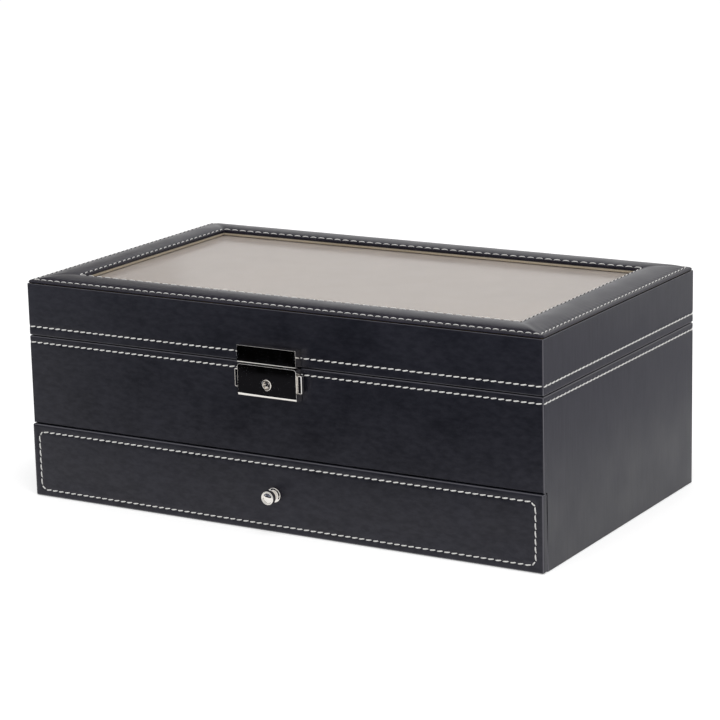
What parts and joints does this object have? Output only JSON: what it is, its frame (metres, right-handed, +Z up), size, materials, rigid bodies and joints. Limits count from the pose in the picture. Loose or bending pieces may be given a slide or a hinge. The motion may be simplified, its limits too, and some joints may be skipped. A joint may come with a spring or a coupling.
{
  "type": "watch and jewellery box",
  "caption": "Leather-covered watch case with a glazed padded lid, cushioned slots, a jewellery drawer with a round knob, and a two-button key lock.",
  "frame": {"origin": "middle of the underside, on the surface that the box stands on", "axes": "+X to the right seen from the front, -Y out of the front with the lock and drawer, +Z up"},
  "size_m": [0.33, 0.2041, 0.1301],
  "materials": {
    "leather": "fine-grained black leather with off-white stitching",
    "velvet": "short beige velvet",
    "cushion": "padded beige velvet",
    "fibreboard": "raw fibreboard",
    "felt": "black felt",
    "window_glass": "clear float glass",
    "chrome": "mirror-polished plating",
    "steel": "plain steel"
  },
  "bodies": {
    "base": {"case_leather": "leather", "left_board": "fibreboard", "right_board": "fibreboard", "back_board": "fibreboard", "front_board": "fibreboard", "shelf_board": "fibreboard", "bottom_board": "fibreboard", "underside_felt": "felt", "watch_bay_lining": "velvet", "long_divider": "velvet", "cross_divider_1": "velvet", "cross_divider_2": "velvet", "cross_divider_3": "velvet", "cross_divider_4": "velvet", "cross_divider_5": "velvet", "front_cushion_1": "cushion", "front_cushion_2": "cushion", "front_cushion_3": "cushion", "front_cushion_4": "cushion", "front_cushion_5": "cushion", "front_cushion_6": "cushion", "back_cushion_1": "cushion", "back_cushion_2": "cushion", "back_cushion_3": "cushion", "back_cushion_4": "cushion", "back_cushion_5": "cushion", "back_cushion_6": "cushion", "lock_case": "chrome", "lock_backplate": "steel", "release_spring": "steel", "left_hinge_base_leaf": "chrome", "left_hinge_pin": "chrome", "right_hinge_base_leaf": "chrome", "right_hinge_pin": "chrome"},
    "lid": {"lid_leather": "leather", "lid_left_board": "fibreboard", "lid_right_board": "fibreboard", "lid_front_board": "fibreboard", "lid_back_board": "fibreboard", "lid_window_frame": "fibreboard", "lid_lining": "velvet", "glass_pane": "window_glass", "window_liner": "velvet", "padded_cap": "leather", "hasp": "chrome", "left_hinge_lid_leaf": "chrome", "right_hinge_lid_leaf": "chrome"},
    "drawer": {"drawer_front": "leather", "drawer_inner_front": "velvet", "drawer_bottom": "velvet", "drawer_back": "velvet", "drawer_left_side": "velvet", "drawer_right_side": "velvet", "drawer_divider": "velvet", "ring_pad": "velvet", "drawer_knob": "chrome"},
    "left_release_button": {"left_release": "chrome"},
    "right_release_button": {"right_release": "chrome"},
    "key_barrel": {"key_barrel": "chrome"}
  },
  "joints": [
    {"name": "lid_hinge", "type": "hinge", "parent": "base", "child": "lid", "pos_m": [0, 0.0975, 0.09555], "axis": [-1, 0, 0], "range_deg": [0, 100]},
    {"name": "drawer_slide", "type": "slide", "parent": "base", "child": "drawer", "axis": [0, -1, 0], "range_m": [0, 0.13]},
    {"name": "left_release_press", "type": "slide", "parent": "base", "child": "left_release_button", "axis": [1, 0, 0], "range_m": [0, 0.0018], "stiffness_N_per_m": 400, "springref_m": -0.002},
    {"name": "right_release_press", "type": "slide", "parent": "base", "child": "right_release_button", "axis": [-1, 0, 0], "range_m": [0, 0.0018], "stiffness_N_per_m": 400, "springref_m": -0.002},
    {"name": "key_turn", "type": "hinge", "parent": "base", "child": "key_barrel", "pos_m": [0, -0.101, 0.0852], "axis": [0, -1, 0], "range_deg": [0, 90]}
  ]
}
